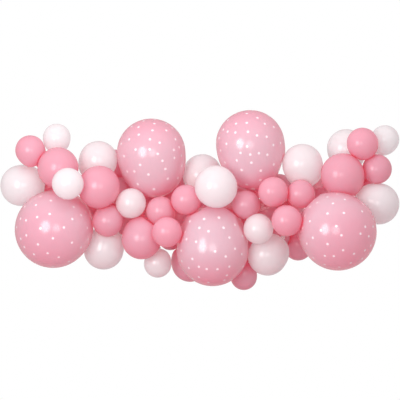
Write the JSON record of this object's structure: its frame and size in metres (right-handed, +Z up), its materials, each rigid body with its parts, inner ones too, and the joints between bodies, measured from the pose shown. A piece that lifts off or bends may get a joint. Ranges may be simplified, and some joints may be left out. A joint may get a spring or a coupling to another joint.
{
  "type": "balloon garland",
  "caption": "Wavy hanging garland of tied round latex balloons in pink, pearl white and white-dotted light pink, in large, medium and small sizes on a clear strip.",
  "frame": {"origin": "on the back face of the clear hanging strip, half-way along the garland", "axes": "+X along the garland, to the right seen from the front; +Y towards the back, out of the strip's back face; +Z up"},
  "size_m": [1.5539, 0.5052, 0.7004],
  "materials": {
    "dotted_latex": "glossy, printed with small white dots",
    "pink_latex": "satin",
    "pearl_latex": "pearl",
    "clear_strip": "clear"
  },
  "bodies": {
    "root": {"dotted_balloon_1": "dotted_latex", "dotted_balloon_2": "dotted_latex", "dotted_balloon_3": "dotted_latex", "dotted_balloon_4": "dotted_latex", "dotted_balloon_5": "dotted_latex", "white_balloon_1": "pearl_latex", "white_balloon_2": "pearl_latex", "white_balloon_3": "pearl_latex", "white_balloon_4": "pearl_latex", "white_balloon_5": "pearl_latex", "white_balloon_6": "pearl_latex", "white_balloon_7": "pearl_latex", "white_balloon_8": "pearl_latex", "white_balloon_9": "pearl_latex", "white_balloon_10": "pearl_latex", "white_balloon_11": "pearl_latex", "white_balloon_12": "pearl_latex", "white_balloon_13": "pearl_latex", "white_balloon_14": "pearl_latex", "white_balloon_15": "pearl_latex", "pink_balloon_1": "pink_latex", "pink_balloon_2": "pink_latex", "pink_balloon_3": "pink_latex", "pink_balloon_4": "pink_latex", "pink_balloon_5": "pink_latex", "pink_balloon_6": "pink_latex", "pink_balloon_7": "pink_latex", "pink_balloon_8": "pink_latex", "pink_balloon_9": "pink_latex", "pink_balloon_10": "pink_latex", "pink_balloon_11": "pink_latex", "pink_balloon_12": "pink_latex", "pink_balloon_13": "pink_latex", "pink_balloon_14": "pink_latex", "pink_balloon_15": "pink_latex", "pink_balloon_16": "pink_latex", "pink_balloon_17": "pink_latex", "pink_balloon_18": "pink_latex", "pink_balloon_19": "pink_latex", "pink_balloon_20": "pink_latex", "pink_balloon_21": "pink_latex", "pink_balloon_22": "pink_latex", "pink_balloon_23": "pink_latex", "pink_balloon_24": "pink_latex", "pink_balloon_25": "pink_latex", "pink_balloon_26": "pink_latex", "pink_balloon_27": "pink_latex", "pink_balloon_28": "pink_latex", "pink_balloon_29": "pink_latex", "pink_balloon_30": "pink_latex", "pink_balloon_31": "pink_latex", "pink_balloon_32": "pink_latex", "pink_balloon_33": "pink_latex", "pink_balloon_34": "pink_latex", "pink_balloon_35": "pink_latex", "pink_balloon_36": "pink_latex", "pink_balloon_37": "pink_latex", "pink_balloon_38": "pink_latex", "hanging_strip": "clear_strip"}
  },
  "joints": []
}
